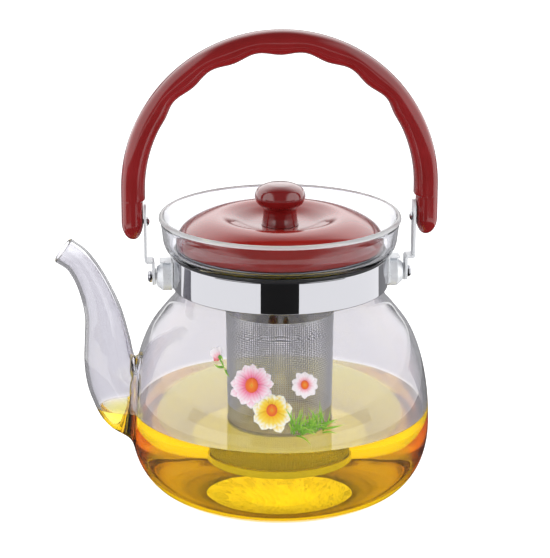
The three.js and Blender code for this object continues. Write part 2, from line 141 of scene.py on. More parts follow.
# cards and mats, that only reflections see
CARD_DISTANCE = 300
CARD_HALF_WIDTH = 100
CARD_Z = (0, 130)
MAT_Z = 0.3
MAT_NEAR = (60, 290)  # inner and outer radius
MAT_BACK = (290, 1500)
MAT_FRONT = (545, 2500)

# camera
CAMERA_AT = Vector((-95.05, -1109.9, 447.4)) * MM
CAMERA_TO = Vector((-2.45, 0.2, 110.65)) * MM
CAMERA_LENS = 149.24
CAMERA_ROLL = math.radians(0.104)


# ---- curves and meshes ----

def catmull(points, per_span=24):
    """A centripetal Catmull-Rom curve through the points, as a dense polyline."""
    p = np.array(points, float)
    p = np.vstack([2 * p[0] - p[1], p, 2 * p[-1] - p[-2]])
    w = np.linspace(0, 1, per_span, endpoint=False)[:, None]
    out = []
    for i in range(1, len(p) - 2):
        before, here, there = [np.linalg.norm(p[i + k] - p[i + k - 1]) ** 0.5 for k in (0, 1, 2)]
        middle = (p[i + 1] - p[i]) / here
        leave = (p[i] - p[i - 1]) / before - (p[i + 1] - p[i - 1]) / (before + here) + middle
        arrive = middle - (p[i + 2] - p[i]) / (here + there) + (p[i + 2] - p[i + 1]) / there
        out.append(hermite(p[i], p[i + 1], leave * here, arrive * here, w))
    return np.vstack([*out, p[-2][None]])


def hermite(start, end, leave, arrive, w):
    """Points on a cubic from start to end with those tangents."""
    return ((2 * w ** 3 - 3 * w ** 2 + 1) * start + (w ** 3 - 2 * w ** 2 + w) * leave
            + (3 * w ** 2 - 2 * w ** 3) * end + (w ** 3 - w ** 2) * arrive)


def lengths(points):
    """The distance along a polyline at each of its points."""
    steps = np.linalg.norm(np.diff(points, axis=0), axis=1)
    return np.concatenate([[0], np.cumsum(steps)])


def offset(points, distance):
    """The profile moved sideways: a positive distance goes to the left of its direction."""
    along = np.gradient(points, axis=0)
    along /= np.linalg.norm(along, axis=1)[:, None]
    return points + np.stack([-along[:, 1], along[:, 0]], axis=1) * distance


def rounded(points, radius):
    """A profile with each corner between its ends turned into an arc."""
    p = np.array(points, float)
    out = [p[0]]
    for i in range(1, len(p) - 1):
        to, away = p[i - 1] - p[i], p[i + 1] - p[i]
        room = min(np.linalg.norm(to), np.linalg.norm(away)) * 0.48
        to, away = to / np.linalg.norm(to), away / np.linalg.norm(away)
        half = math.acos(max(-1, min(1, float(to @ away)))) / 2
        nearly_straight = half > math.radians(88)
        if nearly_straight:
            out.append(p[i])
            continue
        cut = min(radius / math.tan(half), room)
        first, last = p[i] + to * cut, p[i] + away * cut
        w = np.linspace(0, 1, 5)[:, None]
        out.extend((1 - w) ** 2 * first + 2 * w * (1 - w) * p[i] + w ** 2 * last)
    out.append(p[-1])
    return np.array(out)


def mesh_object(name, points, faces, paint):
    """A mesh object in metres from points in millimetres."""
    mesh = bpy.data.meshes.new(name)
    mesh.from_pydata((np.array(points, float) * MM).tolist(), [], [tuple(f) for f in faces])
    mesh.materials.append(paint)
    piece = bpy.data.objects.new(name, mesh)
    bpy.context.scene.collection.objects.link(piece)
    return piece


def make(name, points, faces, paint, body, replaces=(), sharp=40):
    """A smooth piece riding on a body. Edges sharper than so many degrees stay sharp, if sharp isn't 0."""
    piece = mesh_object(name, points, faces, paint)
    mesh = piece.data
    bm = bmesh.new()
    bm.from_mesh(mesh)
    bmesh.ops.recalc_face_normals(bm, faces=bm.faces)
    bm.to_mesh(mesh)
    bm.free()
    mesh.shade_smooth()
    if sharp:
        mesh.set_sharp_from_angle(angle=math.radians(sharp))
    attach(piece, body)
    if replaces:
        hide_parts(*replaces)
    return piece


def lathe(profile, columns=COLUMNS):
    """Points and faces of a profile of radius and height turned about Z, open or closed on itself."""
    profile = np.array(profile, float)
    closes = np.allclose(profile[0], profile[-1]) and profile[0][0] > 1e-6
    if closes:
        profile = profile[:-1]
    points, rows, faces = [], [], []
    for r, z in profile:
        if r < 1e-6:
            rows.append([len(points)])
            points.append((0, 0, z))
            continue
        rows.append(list(range(len(points), len(points) + columns)))
        for i in range(columns):
            a = 2 * math.pi * i / columns
            points.append((r * math.cos(a), r * math.sin(a), z))
    pairs = list(zip(rows, rows[1:])) + ([(rows[-1], rows[0])] if closes else [])
    for low, high in pairs:
        faces += bridge(low, high)
    return np.array(points), faces


def bridge(low, high):
    """Faces between two closed rows of the same length, or between a row and a single point."""
    count = max(len(low), len(high))
    faces = []
    for i in range(count):
        j = (i + 1) % count
        if len(low) == 1:
            faces.append((low[0], high[j], high[i]))
        elif len(high) == 1:
            faces.append((low[i], low[j], high[0]))
        else:
            faces.append((low[i], low[j], high[j], high[i]))
    return faces


def add_row(points, faces, before, ring):
    """Adds a closed row of points, joined to the row before it. Returns the new row."""
    row = list(range(len(points), len(points) + len(ring)))
    points.extend(ring)
    if before:
        faces += bridge(before, row)
    return row


def turned(name, profile, paint, body, replaced, columns=COLUMNS, sharp=40):
    """A piece turned about the pot's axis that stands for a CAD node."""
    points, faces = lathe(profile, columns)
    make(name, points, faces, paint, body, (replaced,), sharp)


def ring_profile(inner, outer, low, high, radius=0.2):
    """A ring's rectangular section with rounded corners."""
    middle = (inner + outer) / 2
    corners = [(outer, low), (outer, high), (inner, high), (inner, low)]
    return rounded([(middle, low), *corners, (middle, low)], radius)


def tubes(paths, closed):
    """Points and faces of wires along paths, each an array of points. Open wires get flat ends."""
    points, faces = [], []
    for path in paths:
        along = np.gradient(path, axis=0)
        if closed:
            along = np.roll(path, -1, axis=0) - np.roll(path, 1, axis=0)
        along /= np.linalg.norm(along, axis=1)[:, None]
        out = path * (1, 1, 0)
        size = np.linalg.norm(out, axis=1)[:, None]
        out = np.where(size > 1e-6, out / np.maximum(size, 1e-6), (0, 0, 1))
        if abs(along[:, 2]).max() < 0.7 and not closed:
            out = np.tile((0.0, 0.0, 1.0), (len(path), 1))
        side = np.cross(along, out)
        side /= np.linalg.norm(side, axis=1)[:, None]
        up = np.cross(side, along)
        start = sum(len(p) for p in points)
        a = 2 * np.pi * np.arange(WIRE_SIDES) / WIRE_SIDES
        rings = (path[:, None] + WIRE_R * (np.cos(a)[None, :, None] * side[:, None]
                                           + np.sin(a)[None, :, None] * up[:, None]))
        points.append(rings.reshape(-1, 3))
        index = start + np.arange(len(path) * WIRE_SIDES).reshape(len(path), WIRE_SIDES)
        nxt = np.roll(index, -1, axis=0) if closed else index[1:]
        here = index if closed else index[:-1]
        faces.append(np.stack([here, np.roll(here, -1, 1), np.roll(nxt, -1, 1), nxt], -1).reshape(-1, 4))
        if not closed:
            faces += [index[0][::-1][None], index[-1][None]]
    return np.vstack(points), np.vstack(faces)


# ---- materials ----

def material(name, **sockets):
    """A Principled material with those socket values. Returns it with its node tree and its shader."""
    made = bpy.data.materials.new(name)
    made.use_nodes = True
    tree = made.node_tree
    shader = tree.nodes["Principled BSDF"]
    for socket, value in sockets.items():
        shader.inputs[socket.replace("_", " ")].default_value = value
    return made, tree, shader


def node(tree, kind, **settings):
    """A new node with those properties and, for names that are sockets, those input values."""
    made = tree.nodes.new(kind)
    for key, value in settings.items():
        if hasattr(made, key):
            setattr(made, key, value)
        else:
            made.inputs[key.replace("_", " ")].default_value = value
    return made


def noise(tree, scale, detail=3.0, stretch=(1, 1, 1)):
    """A noise in object coordinates; scale is in waves per metre."""
    place = node(tree, "ShaderNodeTexCoord")
    mapping = node(tree, "ShaderNodeMapping")
    mapping.inputs["Scale"].default_value = stretch
    texture = node(tree, "ShaderNodeTexNoise", Scale=scale, Detail=detail)
    tree.links.new(place.outputs["Object"], mapping.inputs["Vector"])
    tree.links.new(mapping.outputs["Vector"], texture.inputs["Vector"])
    return texture.outputs["Fac"]


def bump(tree, shader, height, strength, distance):
    """Relief on a shader; distance is in metres."""
    bumped = node(tree, "ShaderNodeBump", Strength=strength, Distance=distance)
    tree.links.new(height, bumped.inputs["Height"])
    tree.links.new(bumped.outputs["Normal"], shader.inputs["Normal"])


def ramp(tree, factor, stops):
    """A colour ramp on a factor: stops are (position, colour)."""
    made = node(tree, "ShaderNodeValToRGB")
    bar = made.color_ramp
    while len(bar.elements) < len(stops):
        bar.elements.new(0.5)
    for element, (position, colour) in zip(bar.elements, stops):
        element.position = position
        element.color = (*colour, 1)
    tree.links.new(factor, made.inputs["Fac"])
    return made.outputs["Color"]


def math_node(tree, operation, first, second):
    """The result of an operation on two values, each a number or a node's output."""
    made = node(tree, "ShaderNodeMath", operation=operation)
    for socket, value in zip(made.inputs, (first, second)):
        if isinstance(value, (int, float)):
            socket.default_value = value
        else:
            tree.links.new(value, socket)
    return made.outputs[0]


def spread(tree, factor, low, high):
    """The factor mapped from 0..1 to low..high."""
    made = node(tree, "ShaderNodeMapRange", To_Min=low, To_Max=high)
    tree.links.new(factor, made.inputs["Value"])
    return made.outputs["Result"]


def step_between(tree, value, start, end):
    """A smooth step from 0 at start to 1 at end."""
    made = node(tree, "ShaderNodeMapRange", interpolation_type="SMOOTHSTEP", From_Min=start, From_Max=end)
    tree.links.new(value, made.inputs["Value"])
    return made.outputs["Result"]


def absorb(tree, density, colour):
    """Colour that deepens with the way through a material."""
    volume = node(tree, "ShaderNodeVolumeAbsorption", Density=density, Color=colour)
    tree.links.new(volume.outputs["Volume"], tree.nodes["Material Output"].inputs["Volume"])


def glass_material():
    """Faintly lilac glass, painted nearly clear below the tea's surface and lighter near its top: painted
    light that brightens the tea and the lid seen through it.
    """
    made, tree, shader = material("clear_glass", Roughness=0.0, IOR=1.47, Transmission_Weight=1.0)
    place = node(tree, "ShaderNodeTexCoord")
    split = node(tree, "ShaderNodeSeparateXYZ")
    tree.links.new(place.outputs["Object"], split.inputs[0])
    past_painted_clear, painted_collar_light = [step_between(tree, split.outputs["Z"], low * MM, high * MM)
                         for low, high in (PAINTED_CLEAR_TEA_Z, PAINTED_LIGHT_COLLAR_Z)]
    level = math_node(tree, "ADD", past_painted_clear, painted_collar_light)
    level = math_node(tree, "MULTIPLY", level, 0.5)
    # painted light: nearly clear glass at the tea and lighter glass near the top, not the glass's own tint
    stops = [(0, GLASS_PAINTED_CLEAR_AT_TEA), (0.5, GLASS_TINT), (1, GLASS_PAINTED_LIGHT_COLLAR)]
    tree.links.new(ramp(tree, level, stops), shader.inputs["Base Color"])
    bump(tree, shader, noise(tree, 40, 1, (1, 1, 0.25)), 0.05, 0.0004)
    absorb(tree, 4.0, (0.55, 0.55, 0.7, 1))
    return made


def tea_material():
    """Clear golden tea, whose colour comes from its depth."""
    made, tree, shader = material(
        "tea", Base_Color=(1, 1, 1, 1), Roughness=0.0, IOR=1.333, Transmission_Weight=1.0)
    bump(tree, shader, noise(tree, 25, 1), 0.03, 0.0004)
    absorb(tree, 100.0, (0.997, 0.958, 0.03, 1))
    return made


def steel_material(name, colour, rough, scale, stretch, metallic=1.0):
    """Steel with a fine grain. Less than fully metallic, it looks pale from every side."""
    made, tree, shader = material(name, Base_Color=(*colour, 1), Metallic=metallic, Roughness=rough)
    grain = noise(tree, scale, 4, stretch)
    tree.links.new(spread(tree, grain, rough * 0.7, rough * 1.3), shader.inputs["Roughness"])
    bump(tree, shader, grain, 0.04, 0.0002)
    return made


def red_material(name, dark, light, coat):
    """Glossy plastic, mottled between two reds, with an uneven polish."""
    made, tree, shader = material(name, Roughness=0.12, IOR=1.5, Coat_Weight=coat, Coat_Roughness=0.03)
    mottle = noise(tree, 60, 3)
    tree.links.new(ramp(tree, mottle, [(0.3, dark), (0.7, light)]), shader.inputs["Base Color"])
    fine = noise(tree, 900, 2)
    tree.links.new(spread(tree, fine, 0.09, 0.16), shader.inputs["Roughness"])
    bump(tree, shader, noise(tree, 140, 2), 0.05, 0.0004)
    return made


def silicone_material(name, colour):
    """Dull silicone or rubber with a little dust."""
    made, tree, shader = material(name, Roughness=0.5)
    dust = noise(tree, 500, 4)
    dark = tuple(c * 0.85 for c in colour)
    tree.links.new(ramp(tree, dust, [(0.35, dark), (0.65, colour)]), shader.inputs["Base Color"])
    bump(tree, shader, dust, 0.1, 0.0002)
    return made


def painted_gleam_material():
    """A painted reflection on the tea: a pale sheet whose gleam stands for the light its surface mirrors."""
    made, tree, shader = material(
        "tea_painted_gleam", Base_Color=(0.93, 0.91, 0.9, 1), Roughness=0.0, IOR=1.9, Transmission_Weight=0.9)
    bump(tree, shader, noise(tree, 25, 1), 0.02, 0.0004)
    return made


def painted_rim_highlight_material():
    """Milky white glass for the rim's edge, a painted highlight that stands for the light the edge catches.
    """
    made, tree, shader = material(
        "glass_rim_painted_highlight", Base_Color=(0.95, 0.95, 0.97, 1), Roughness=0.1, IOR=1.47, Transmission_Weight=0.45)
    bump(tree, shader, noise(tree, 300, 2), 0.05, 0.0002)
    return made


def print_material(name, stops, wobble=0.06):
    """Enamel whose colour runs along the shape, with a fine streak."""
    made, tree, shader = material(name, Roughness=0.35)
    shade = node(tree, "ShaderNodeAttribute", attribute_name="shade").outputs["Fac"]
    streak = spread(tree, noise(tree, 900, 3), -wobble, wobble)
    streaked = math_node(tree, "ADD", shade, streak)
    tree.links.new(ramp(tree, streaked, stops), shader.inputs["Base Color"])
    return made


GLASS = glass_material()
# milky white rim edge, a painted highlight
GLASS_RIM_PAINTED_HIGHLIGHT = painted_rim_highlight_material()
# a pale sheet on the tea that paints the reflection on its surface
TEA_PAINTED_GLEAM = painted_gleam_material()
PINK_PRINT = print_material("pink_enamel", [
    (0.0, (0.8, 0.06, 0.1)), (0.3, (0.88, 0.2, 0.35)), (0.6, (0.93, 0.55, 0.68)), (0.95, (0.96, 0.9, 0.94))])
PALE_PINK_PRINT = print_material("pale_pink_enamel", [
    (0.0, (0.7, 0.05, 0.06)), (0.3, (0.9, 0.4, 0.47)), (0.6, (0.95, 0.82, 0.87)), (1.0, (0.96, 0.94, 0.96))])
YELLOW_PRINT = print_material("yellow_enamel", [
    (0.0, (0.9, 0.3, 0.01)), (0.3, (0.95, 0.55, 0.02)), (0.6, (0.95, 0.72, 0.1)), (0.9, (0.96, 0.94, 0.85))])
ORANGE_PRINT = print_material("orange_enamel", [
    (0.0, (0.85, 0.4, 0.04)), (0.5, (0.88, 0.2, 0.02)), (1.0, (0.8, 0.12, 0.03))])
GRASS_PRINT = print_material("green_enamel", [
    (0.0, (0.10, 0.28, 0.02)), (0.5, (0.22, 0.5, 0.04)), (1.0, (0.5, 0.68, 0.12))], 0.3)
TEA = tea_material()
POLISHED = steel_material("polished_steel", (0.49, 0.49, 0.52), 0.03, 220, (1, 1, 0.05))
SATIN = steel_material("satin_steel", (0.9, 0.92, 0.95), 0.3, 900, (1, 1, 1), 0.2)
WIRE = steel_material("wire_steel", (0.95, 0.96, 0.99), 0.45, 700, (1, 1, 1), 0.1)
DARK_RED, LIGHT_RED = (0.2, 0.009, 0.009), (0.25, 0.013, 0.015)
RED = red_material("red_plastic", DARK_RED, LIGHT_RED, 0.3)
RED_KNOB = red_material("red_knob_plastic", DARK_RED, LIGHT_RED, 1.0)
RED_LID = red_material("red_lid_plastic", (0.34, 0.014, 0.009), (0.40, 0.018, 0.012), 0.5)
CREAM = silicone_material("cream_silicone", (0.72, 0.68, 0.58))
# black here is a painted dark reflection along the band's top edge
PAINTED_DARK_RUBBER = silicone_material("rubber_painted_dark_line", (0.022, 0.022, 0.025))


# ---- glass ----

def pot_outside():
    """The pot's outside from the edge of its base to its rim, as a dense profile."""
    a = np.linspace(0, math.pi / 2, 60)
    radius = BASE_R + (BELLY_R - BASE_R) * np.sin(a) ** HEEL
    lower = np.stack([radius, BELLY_Z - BELLY_Z * np.cos(a) ** HEEL], 1)
    upper = catmull([lower[-4], lower[-1], *SHOULDER, *NECK, *COLLAR])
    return np.vstack([lower[:-4], upper])


OUTSIDE = pot_outside()
SPOUT_LINE = catmull(SPOUT)
SPOUT_ALONG = np.gradient(SPOUT_LINE[:, :2], axis=0)
SPOUT_ALONG /= np.linalg.norm(SPOUT_ALONG, axis=1)[:, None]


def spout_at(t, angle, grow):
    """A point of the spout's surface: t runs along its line in samples, angle 0 is its upper side."""
    samples = np.arange(len(SPOUT_LINE))
    x, z, depth, width = [np.interp(t, samples, SPOUT_LINE[:, i]) for i in range(4)]
    ax, az = [np.interp(t, samples, SPOUT_ALONG[:, i]) for i in range(2)]
    reach = math.cos(angle) * (depth + grow)
    return np.stack([x + az * reach, math.sin(angle) * (width + grow), z - ax * reach], -1)


def skin(profile, grow, fillet):
    """One surface of the pot, from its axis to its rim, with the spout growing out of it.

    Returns its points, its faces, the top row and the row around the spout's mouth.
    """
    along = lengths(profile)

    def on_wall(a, u):
        r, z = [np.interp(u, along, profile[:, i]) for i in range(2)]
        return np.array([r * math.cos(a), r * math.sin(a), z])

    count = int(round(along[-1] / ROW))
    heights = np.linspace(0, along[-1], count + 1)
    first = int(np.argmax(np.interp(heights, along, profile[:, 1]) > PATCH_LOW))
    last = first + PATCH_ROWS
    left, right = COLUMNS // 2 - PATCH_COLUMNS, COLUMNS // 2 + PATCH_COLUMNS
    points, faces = [(0, 0, profile[0][1])], []
    index = {}
    for row, u in enumerate(heights):
        for column in range(COLUMNS):
            if first < row < last and left < column < right:
                continue
            index[row, column] = len(points)
            points.append(on_wall(2 * math.pi * column / COLUMNS, u))
    flat_base(points, faces, profile[0], [index[0, column] for column in range(COLUMNS)])
    for row in range(count):
        for column in range(COLUMNS):
            if first <= row < last and left <= column < right:
                continue
            nxt = (column + 1) % COLUMNS
            faces.append((index[row, column], index[row, nxt], index[row + 1, nxt], index[row + 1, column]))

    edge = patch_edge(first, last, left, right)
    leaving = [leave_wall(points[index[place]], profile, along, grow) for place in edge]
    centre = np.array([math.pi, np.mean([up for _, _, _, up in leaving])])
    lines = []
    for (row, column), (angle, t, around, up) in zip(edge, leaving):
        start = np.array([2 * math.pi * column / COLUMNS, heights[row]])
        lines.append(root_line(start, np.array([around, up]), centre, angle, t, grow, fillet, on_wall))
    before = [index[place] for place in edge]
    for ring in zip(*lines):
        before = add_row(points, faces, before, ring)
    top = [index[count, column] for column in range(COLUMNS)]
    return points, faces, top, before


def flat_base(points, faces, corner, outermost):
    """Adds the rings of a flat base from point 0, in its middle, to the wall's lowest row."""
    before = [0]
    turns = [2 * math.pi * column / COLUMNS for column in range(COLUMNS)]
    for r in np.linspace(0, corner[0], BASE_RINGS + 2)[1:-1]:
        ring = [(r * math.cos(a), r * math.sin(a), corner[1]) for a in turns]
        before = add_row(points, faces, before, ring)
    faces += bridge(before, outermost)


def patch_edge(first, last, left, right):
    """Rows and columns around the patch that the spout replaces, once round from the middle of its top."""
    middle = COLUMNS // 2
    edge = [(last, column) for column in range(middle, left, -1)]
    edge += [(row, left) for row in range(last, first, -1)]
    edge += [(first, column) for column in range(left, right)]
    edge += [(row, right) for row in range(first, last)]
    return edge + [(last, column) for column in range(right, middle, -1)]


def leave_wall(point, profile, along, grow):
    """Where the spout comes out of the wall nearest to a point of the patch's edge.

    Returns its angle around the spout, sample of the spout's line, angle around the pot and length up it.
    """
    angle = math.atan2(point[1] / ROOT_HALF_WIDTH, (point[2] - ROOT_Z) / ROOT_HALF_HEIGHT)
    samples = np.linspace(0, len(SPOUT_LINE) * ROOT_SEARCH, 900)
    line = spout_at(samples, angle, grow)
    inside = np.hypot(line[:, 0], line[:, 1]) < np.interp(line[:, 2], profile[:, 1], profile[:, 0])
    t = samples[int(np.argmin(inside))]
    at = spout_at(t, angle, grow)
    wall = wall_points(profile)
    up = np.interp(at[2], profile[wall][:, 1], along[wall])
    return angle, t, math.atan2(at[1], at[0]) % (2 * math.pi), up


def root_line(start, hole, centre, angle, t, grow, fillet, on_wall):
    """A line of points from the patch's edge over the wall and the fillet to the spout's mouth.

    start, hole and centre are places on the wall, as the angle around the pot and the length up it.
    """
    scale = np.array([BELLY_R, 1])
    away = (hole - centre) * scale
    away /= np.linalg.norm(away)
    lip = hole + away * fillet / scale
    line = [on_wall(*(start + (lip - start) * w)) for w in np.linspace(0, 1, LIP_ROWS + 1)[1:]]
    leave_t = t + FILLET_SPAN * fillet
    target = spout_at(leave_t, angle, grow)
    step_in = on_wall(*(lip - away * 0.1 / scale)) - on_wall(*lip)
    step_in /= np.linalg.norm(step_in)
    step_out = spout_at(leave_t + 0.5, angle, grow) - target
    step_out /= np.linalg.norm(step_out)
    reach = np.linalg.norm(target - line[-1]) * FILLET_FULLNESS
    w = np.linspace(0, 1, FILLET_ROWS + 1)[1:, None]
    line += list(hermite(line[-1], target, step_in * reach, step_out * reach, w))
    spout = np.linspace(leave_t, len(SPOUT_LINE) - 1, SPOUT_ROWS + 1)[1:]
    return line + [spout_at(place, angle, grow) for place in spout]


def wall_points(profile):
    """The part of a profile where its height only rises, past the first points of its heel."""
    return slice(8, len(profile))


def lip_rows(points, outer, inner, outwards):
    """Adds half-round rows between two rows of points, bulging along outwards. Returns the faces."""
    faces, before = [], outer
    for a in np.linspace(0, math.pi, 9)[1:-1]:
        ring = []
        for first, second in zip(outer, inner):
            one, two = np.array(points[first]), np.array(points[second])
            half = np.linalg.norm(one - two) / 2
            ring.append((one + two) / 2 + (one - two) / 2 * math.cos(a) + outwards * half * math.sin(a))
        before = add_row(points, faces, before, ring)
    return faces + bridge(before, inner)


def glass_pot():
    """The pot and its spout as one glass with an outside, an inside and polished edges; the rim's edge is
    milky white, a painted highlight.
    """
    outer = skin(OUTSIDE, 0, FILLET_OUTSIDE)
    inner = skin(offset(OUTSIDE, WALL), -SPOUT_WALL, FILLET_INSIDE)
    points = outer[0] + inner[0]
    base = len(outer[0])
    faces = outer[1] + [tuple(i + base for i in f) for f in inner[1]]
    inner_top, inner_mouth = [i + base for i in inner[2]], [i + base for i in inner[3]]
    before_rim = len(faces)
    faces += lip_rows(points, outer[2], inner_top, np.array([0, 0, 1]))
    rim_faces_painted_highlight = range(before_rim, len(faces))
    mouth = np.array([SPOUT_ALONG[-1][0], 0, SPOUT_ALONG[-1][1]])
    faces += lip_rows(points, outer[3], inner_mouth, mouth)
    replaced = ("glass_body", "glass_spout")
    piece = make("glass_pot", points, faces, GLASS, "root", replaced, sharp=0)
    # the rim's faces take the milky white painted highlight
    piece.data.materials.append(GLASS_RIM_PAINTED_HIGHLIGHT)
    for i in rim_faces_painted_highlight:
        piece.data.polygons[i].material_index = 1


def tea():
    """The tea, which is the inside of the pot and its spout up to the tea's height."""
    inside = offset(OUTSIDE, WALL - TEA_OVERLAP)
    points, faces, _, _ = skin(inside, TEA_OVERLAP - SPOUT_WALL, FILLET_INSIDE)
    mesh = make("tea", points, faces, TEA, "root", sharp=0).data
    bm = bmesh.new()
    bm.from_mesh(mesh)
    everything = bm.verts[:] + bm.edges[:] + bm.faces[:]
    level = {"plane_co": (0, 0, TEA_Z * MM), "plane_no": (0, 0, 1)}
    bmesh.ops.bisect_plane(bm, geom=everything, clear_outer=True, **level)
    bmesh.ops.holes_fill(bm, edges=[e for e in bm.edges if e.is_boundary], sides=0)
    bmesh.ops.recalc_face_normals(bm, faces=bm.faces)
    bm.to_mesh(mesh)
    bm.free()
    mesh.shade_smooth()
    mesh.set_sharp_from_angle(angle=math.radians(50))


def tea_painted_gleam_sheet():
    """A thin pale sheet on the tea, which paints the reflection on its surface."""
    wall = OUTSIDE[wall_points(OUTSIDE)]
    radius = np.interp(TEA_Z, wall[:, 1], wall[:, 0]) - WALL
    low, high = TEA_Z + PAINTED_GLEAM_Z[0], TEA_Z + PAINTED_GLEAM_Z[1]
    points, faces = lathe([(0, low), (radius, low), (radius, high), (0, high)])
    make("tea_painted_gleam_sheet", points, faces, TEA_PAINTED_GLEAM, "root")


# ---- printed flowers ----

def on_glass(centre, across, up, height):
    """A point on the pot's outside, across and up from a centre given as angle from the front and height."""
    wall = OUTSIDE[wall_points(OUTSIDE)]
    along = lengths(wall)
    start = np.interp(centre[1], wall[:, 1], along)
    radius_here = np.interp(start, along, wall[:, 0])
    r, z = [np.interp(start + up, along, wall[:, i]) for i in (0, 1)]
    slope = [np.interp(start + up, along, np.gradient(wall[:, i], along)) for i in (0, 1)]
    a = math.radians(centre[0]) + across / radius_here
    r, z = r + slope[1] * height, z - slope[0] * height
    return r * math.sin(a), -r * math.cos(a), z


def print_sheet(name, shapes, centre, paint):
    """Thin printed shapes on the glass. Each is a grid of rows of (across, up, shade), and its height."""
    points, faces, shades = [], [], []
    for rows, height in shapes:
        start, wide = len(points), len(rows[0])
        for lift in (height, height - PRINT_T):
            for row in rows:
                for across, up, shade in row:
                    points.append(on_glass(centre, across, up, lift))
                    shades.append(shade)
        count = len(rows) * wide
        at = lambda i, j, side: start + side * count + i * wide + j
        for i in range(len(rows) - 1):
            for j in range(wide - 1):
                top = (at(i, j, 0), at(i, j + 1, 0), at(i + 1, j + 1, 0), at(i + 1, j, 0))
                faces.append(top)
                faces.append(tuple(f + count for f in top[::-1]))
        edge = [(0, j) for j in range(wide)]
        edge += [(i, wide - 1) for i in range(1, len(rows))]
        edge += [(len(rows) - 1, j) for j in range(wide - 2, -1, -1)]
        edge += [(i, 0) for i in range(len(rows) - 2, 0, -1)]
        for one, two in zip(edge, edge[1:] + edge[:1]):
            faces.append((at(*one, 0), at(*one, 1), at(*two, 1), at(*two, 0)))
    piece = make(name, points, faces, paint, "root", sharp=0)
    shade = piece.data.attributes.new("shade", "FLOAT", "POINT")
    shade.data.foreach_set("value", np.array(shades, np.float32))


def petal(angle, start, end, width, tip):
    """A petal's grid, from the flower's middle outwards. tip notches its end."""
    rows = []
    for t in np.linspace(0, 1, 11):
        half = width * min(1, (0.1 + t) / 0.6) ** 0.8 * math.sqrt(1.001 - max(0, (t - 0.7) / 0.3) ** 2)
        row = []
        for s in np.linspace(-1, 1, 7):
            reach = start + (end - start) * t * (1 - tip * (1 - abs(s)) * t ** 6 - 0.1 * s * s)
            across = math.sin(angle) * reach + math.cos(angle) * half * s
            up = math.cos(angle) * reach - math.sin(angle) * half * s
            row.append((across, up, t + 0.06 * math.cos(9 * s)))
        rows.append(row)
    return rows


def daisy(name, centre, radius, eye, petals, width, paint, eye_paint, squeeze=1.0):
    """Two rings of petals around an eye. squeeze makes the upper side shorter."""
    shapes = []
    for ring, share in ((0, 1.0), (1, 0.86)):
        for i in range(petals):
            a = 2 * math.pi * (i + 0.5 * ring) / petals + 0.13 * CHANCE.uniform(-1, 1)
            long = radius * share * CHANCE.uniform(0.92, 1.04)
            long *= 1 - (1 - squeeze) * (1 + math.cos(a)) / 2
            layer = PRINT_GAP + PRINT_T * (1.2 + ring * 2.6 + (i % 2) * 1.3)
            shapes.append((petal(a, eye * 0.4, long, width, 0.08), layer))
    print_sheet(name, shapes, centre, paint)
    turns = np.linspace(0, 2 * math.pi, 25)
    rows = [[(math.sin(a) * eye * t, math.cos(a) * eye * 1.15 * t, t) for a in turns]
            for t in np.linspace(0.02, 1, 6)]
    print_sheet(name + "_eye", [(rows, PRINT_GAP + PRINT_T * 8)], centre, eye_paint)


def blade(foot, angle, long, width, bend):
    """A blade of grass or a stem, from its foot."""
    rows = []
    for t in np.linspace(0, 1, 9):
        half = width * (1 - t ** 2) * (0.55 + 0.9 * t * (1 - t)) + 0.04
        turn = angle + bend * t
        x, y = foot[0] + math.sin(turn) * long * t, foot[1] + math.cos(turn) * long * t
        rows.append([(x + math.cos(turn) * half * s, y - math.sin(turn) * half * s, t) for s in (-1, 0, 1)])
    return rows


def flowers():
    """Three daisies, grass and a bud on its stem. Places are degrees from the front, and heights."""
    daisy("print_pink_daisy", (-16, 78), 11.8, 3.2, 12, 2.3, PINK_PRINT, ORANGE_PRINT)
    daisy("print_small_daisy", (5.1, 78.3), 7.2, 1.9, 10, 1.6, PALE_PINK_PRINT, ORANGE_PRINT)
    daisy("print_yellow_daisy", (-7.8, 67), 12.4, 2.6, 9, 2.9, YELLOW_PRINT, ORANGE_PRINT, 0.7)
    grass = []
    for i in range(60):
        foot = (CHANCE.uniform(-9, 7), CHANCE.uniform(-4, 2))
        turn = CHANCE.uniform(-0.5, 1.75)
        long, width, bend = CHANCE.uniform(5, 11), CHANCE.uniform(0.35, 0.75), CHANCE.uniform(-0.5, 0.6)
        grass.append((blade(foot, turn, long, width, bend), PRINT_GAP + PRINT_T * (1 + i % 5)))
    print_sheet("print_grass", grass, (6.5, 58.6), GRASS_PRINT)
    bud = (-33.4, 89)
    leaves = [(petal(a, -3, 5, 2, 0.05), PRINT_GAP + PRINT_T * (1 + i))
              for i, a in enumerate((-1.15, -0.55, 0.05, -0.8))]
    print_sheet("print_bud", leaves, bud, PALE_PINK_PRINT)
    stem = [(blade((1, -0.5), 2.25, 9.5, 0.55, 0.25), PRINT_GAP + PRINT_T * 5),
            (blade((1.2, -0.2), 1.5, 3.4, 0.9, 0.7), PRINT_GAP + PRINT_T * 6),
            (blade((4.8, -5.2), -1.9, 5.2, 0.8, 0.5), PRINT_GAP + PRINT_T * 3),
            (blade((6.4, -6.2), 2.9, 4.2, 0.6, -0.4), PRINT_GAP + PRINT_T * 2)]
    print_sheet("print_stem", stem, bud, GRASS_PRINT)


# ---- neck band and pivots ----

